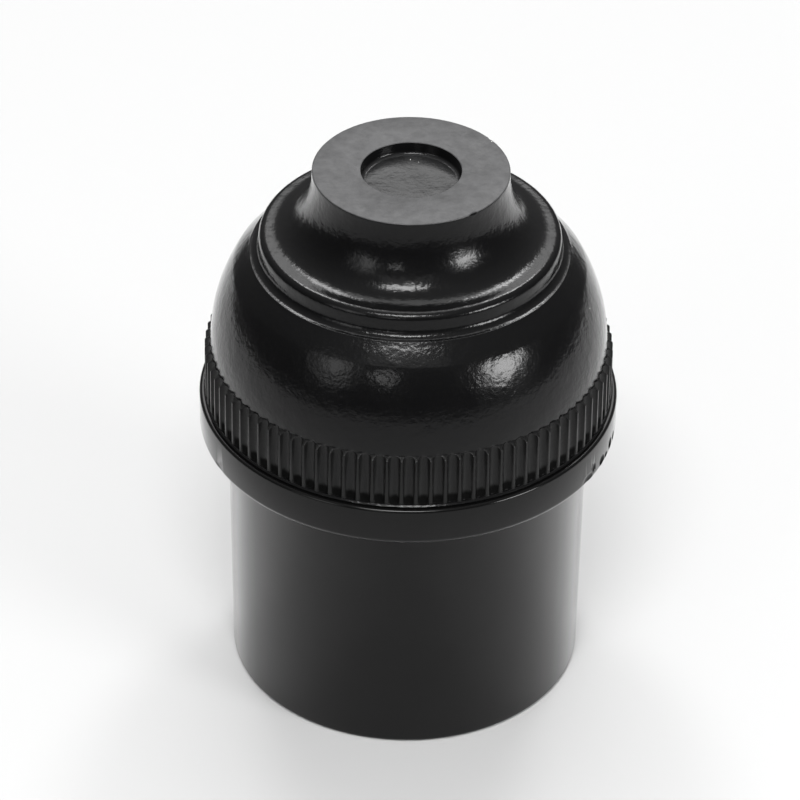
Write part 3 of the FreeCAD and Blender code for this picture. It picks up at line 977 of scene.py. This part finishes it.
def cap_finish():
    """Wavy gloss, rubbed dull on the disc, with dust in the recess, a lighter black on the ribs that is painted
    light, and painted shade about the feet of the ribs.
    """
    c = Cap
    f = Finish("cap_phenolic", PHENOLIC)
    x, y, z = f.apart(f.place())
    radius = (x * x + y * y).power(0.5)
    on_disc = z.past(c.top - 0.14, c.top - 0.03)
    on_entry_floor = z.past(c.entry_floor - 0.2, c.entry_floor - 0.1)
    in_entry = radius.short_of(c.entry - 0.3, c.entry + 0.02) * on_entry_floor
    above_rim = z.past(c.rim_band_top, c.rim_band_top + 0.2)
    on_ribs = above_rim * z.short_of(c.band_top - 0.2, c.band_top + 0.1)
    matte = on_disc + in_entry * 0.2

    mottle = f.noise(1.3, 4, 0.65)
    cloud = f.noise(3.0, 3)
    dust = f.specks(2.2, 0.07, 0.05) + f.specks(0.9, 0.07, 0.14) * in_entry
    rub = f.noise(0.9, 3, vector=f.stretched(1.0, 0.25, 1.0), seed=2.0)
    colour = f.mixed(matte * (0.2 + mottle), BLACK, DULLED_BLACK)
    # Painted light: the ribs get a lighter black so that the flutes read as lit grey
    colour = f.mixed(on_ribs, colour, RIB_PAINTED_LIGHT)
    colour = f.mixed(dust, colour, DUST)
    rough = 0.13 + 0.1 * cloud + matte * (0.22 + 0.14 * rub) + 0.18 * on_ribs + 0.5 * dust

    waves = f.bump(f.noise(4.0, 1), 0.06)
    peel = f.bump(f.noise(1.3, 3, 0.6), 0.05, waves)
    grain = f.bump(f.noise(0.45, 3), 0.02, peel)
    dimples = f.bump(f.noise(2.0, 2) * in_entry, 0.06, grain)
    f.set({"Base Color": colour, "Roughness": rough, "Normal": dimples})

    # Painted shade: a dark matt coat over the feet of the flutes, where the ledge's dark reflection and shadow fall
    uneven_z = z + 0.5 * MM * f.noise(0.7, 2)
    at_foot = uneven_z.short_of(c.flute_foot + 1.0, c.flute_foot + 1.6)
    in_flute = radius.short_of(c.ridge - 0.16, c.ridge - 0.06)
    f.cover(on_ribs * at_foot * in_flute * 0.95, FLUTE_FOOT_SHADE)
    return f.material


def skirt_finish():
    """Satin on the smooth skirt, and glossier on the collar's top."""
    f = Finish("skirt_phenolic", PHENOLIC)
    z = f.apart(f.place())[2]
    cloud = f.noise(5.0, 3)
    satin = z.short_of(Skirt.collar_top - 0.6, Skirt.collar_top - 0.1)
    dust = f.specks(3.0, 0.06, 0.03)
    colour = f.mixed(satin * cloud, SKIRT_BLACK, RUBBED_BLACK)
    colour = f.mixed(dust, colour, DUST)
    rough = 0.12 + satin * (0.05 + 0.04 * cloud) + 0.5 * dust
    waves = f.bump(f.noise(6.0, 1), 0.02)
    grain = f.bump(f.noise(0.3, 2), 0.0025, waves)
    f.set({"Base Color": colour, "Roughness": rough, "Normal": grain})
    return f.material


# Metals by material slot, as (name, bright colour, tarnished colour, roughness)
METALS = {
    "brass": ("drawn_brass", (0.83, 0.62, 0.3), (0.5, 0.34, 0.15), 0.2),
    "spring_bronze": ("rolled_bronze", (0.76, 0.5, 0.27), (0.46, 0.29, 0.15), 0.26),
    "plated_steel": ("zinc_plate", (0.66, 0.66, 0.64), (0.4, 0.39, 0.36), 0.28),
}


def porcelain_finish():
    """White glaze with a warm cloud and a few brown specks."""
    f = Finish("glazed_porcelain", {"IOR": 1.5, "Coat Weight": 0.6, "Coat Roughness": 0.06})
    cloud = f.noise(4.0, 3)
    colour = f.mixed(cloud, (0.8, 0.78, 0.72), (0.72, 0.69, 0.62))
    colour = f.mixed(f.specks(1.6, 0.06, 0.08), colour, (0.3, 0.22, 0.15))
    f.set({"Base Color": colour, "Roughness": 0.22 + 0.12 * cloud, "Normal": f.bump(f.noise(1.8, 2), 0.02)})
    return f.material


def metal_finish(name, bright, tarnished, roughness):
    """A plated or drawn metal with faint tarnish and fine grain."""
    f = Finish(name, {"Metallic": 1.0})
    tarnish = f.noise(1.6, 4, 0.6).above(0.35, 0.75)
    grain = f.noise(0.5, 2)
    f.set({
        "Base Color": f.mixed(tarnish, bright, tarnished),
        "Roughness": roughness + 0.16 * tarnish + 0.06 * grain,
        "Normal": f.bump(grain, 0.0015),
    })
    return f.material


def floor_finish():
    """White paper, toned down for the camera so that its soft shadows show."""
    f = Finish("paper_floor", {"Roughness": 0.9, "Base Color": (0.48, 0.48, 0.48, 1), "Specular IOR Level": 0.2})
    f.cover(f.node("LightPath", output="Is Camera Ray"), (0.305, 0.305, 0.305))
    return f.material


def dress(piece, material):
    """Makes that the only material of the piece."""
    piece.data.materials.clear()
    piece.data.materials.append(material)


# Camera, floor and light


class Lens:
    """The camera, by its angles and its distance from a point on the axis. It slides to frame the holder."""

    elevation = math.radians(36.084)
    roll = math.radians(0.717)
    distance = 0.462
    aim_z = 0.030
    focal_mm = 183.3
    sensor_mm = 36.0
    slide_right = 0.000867
    slide_up = 0.002820
    nearest = 0.01


def add_camera():
    """The camera stands in front of the holder, on the -Y side, and looks down at it."""
    back = Vector((0, -math.cos(Lens.elevation), math.sin(Lens.elevation)))
    right = Vector((1, 0, 0))
    up = Vector((0, math.sin(Lens.elevation), math.cos(Lens.elevation)))
    across = math.cos(Lens.roll) * right + math.sin(Lens.roll) * up
    upward = -math.sin(Lens.roll) * right + math.cos(Lens.roll) * up
    place = Vector((0, 0, Lens.aim_z)) + back * Lens.distance - across * Lens.slide_right + upward * Lens.slide_up
    data = bpy.data.cameras.new("camera")
    data.lens = Lens.focal_mm
    data.sensor_width = Lens.sensor_mm
    data.clip_start = Lens.nearest
    camera = bpy.data.objects.new("camera", data)
    bpy.context.scene.collection.objects.link(camera)
    turn = Matrix((across, upward, back)).transposed()
    camera.matrix_world = Matrix.Translation(place) @ turn.to_4x4()
    bpy.context.scene.camera = camera


# Lamps, as (name, azimuth, elevation, width, height, brightness). Azimuth and elevation are in degrees as seen from
# the holder, and a lamp of brightness 1 has a white face.
LAMPS = (
    ("back_softbox", 90, 57, 0.8, 0.98, 4.8),
    ("back_left_lamp", 113, 54, 0.2, 0.2, 27.0),
    ("back_right_lamp", 65, 52, 0.2, 0.2, 34.0),
    ("side_window", -34, 13, 0.42, 0.26, 46.0),
    ("front_ceiling_lamp", -96, 58, 0.5, 0.18, 60.0),
    ("front_glow", -92, 42, 0.9, 0.2, 1.4),
    ("front_low_lamp", -104, 19, 0.2, 0.1, 13.0),
    ("left_glow", -133, 18, 0.26, 0.32, 4.5),
    ("left_haze", -136, 20, 0.5, 0.56, 1.5),
)
LAMP_DISTANCE = 1.0

# The greys of the surroundings from the horizon, at 0, to straight up, at 1
SKY_GREYS = ((0.0, 0.12), (0.35, 0.28), (0.7, 0.6), (1.0, 1.0))
SKY_STRENGTH = 1.2
WHITE = (1, 1, 1, 1)


def add_lamp(name, azimuth, elevation, width, height, brightness):
    """A soft oval lamp that faces the holder."""
    data = bpy.data.lights.new(name, "AREA")
    data.shape = "ELLIPSE"
    data.size = width
    data.size_y = height
    data.energy = brightness * math.pi * width * height * math.pi / 4
    lamp = bpy.data.objects.new(name, data)
    bpy.context.scene.collection.objects.link(lamp)
    a, e = math.radians(azimuth), math.radians(elevation)
    outward = Vector((math.cos(e) * math.cos(a), math.cos(e) * math.sin(a), math.sin(e)))
    spot = Vector((0, 0, Lens.aim_z)) + LAMP_DISTANCE * outward
    lamp.matrix_world = Matrix.Translation(spot) @ outward.to_track_quat("Z", "Y").to_matrix().to_4x4()


def add_world():
    """Dim surroundings, with a white background where the camera looks past the floor."""
    world = bpy.data.worlds.new("surroundings")
    bpy.context.scene.world = world
    sky = Nodes(world)
    upwards = sky.apart(sky.node("TexCoord", output="Generated"))[2]
    grey = sky.node("ValToRGB", {"stops": [(height, (g, g, g)) for height, g in SKY_GREYS]}, {"Fac": upwards})
    dim = sky.node("Background", {}, {"Color": grey, "Strength": SKY_STRENGTH})
    white = sky.node("Background", {}, {"Color": WHITE})
    seen = sky.node("LightPath", output="Is Camera Ray")
    sky.end("OutputWorld", sky.node("MixShader", {}, {"Fac": seen, 1: dim, 2: white}))


def add_floor():
    """A round sheet of paper just under the skirt's rim."""
    radius, drop = 0.27, 0.02 * MM
    deselect()
    bpy.ops.mesh.primitive_circle_add(vertices=96, radius=radius, fill_type="NGON", location=(0, 0, -drop))
    floor = named(settle(), "paper_sheet")
    dress(floor, floor_finish())


def main():
    cap = make_cap()
    skirt = make_skirt()
    for piece, body, finish in ((cap, "cap", cap_finish()), (skirt, "skirt", skirt_finish())):
        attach(piece, body)
        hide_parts(body)
        dress(piece, finish)
    sleeve = make_lamp_sleeve()
    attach(sleeve, "insert")
    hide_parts("lamp_sleeve")
    leaf = make_contact_leaf()
    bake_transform(leaf)
    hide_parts("contact_leaf")
    finishes = {slot: metal_finish(*metal) for slot, metal in METALS.items()}
    finishes["porcelain"] = porcelain_finish()
    dress(sleeve, finishes["brass"])
    dress(leaf, finishes["spring_bronze"])
    for part in frame["record"]["subparts"]:
        if part["material_slot"] in finishes:
            dress(nodes[part["node"]], finishes[part["material_slot"]])
    add_floor()
    add_camera()
    for lamp in LAMPS:
        add_lamp(*lamp)
    add_world()


main()
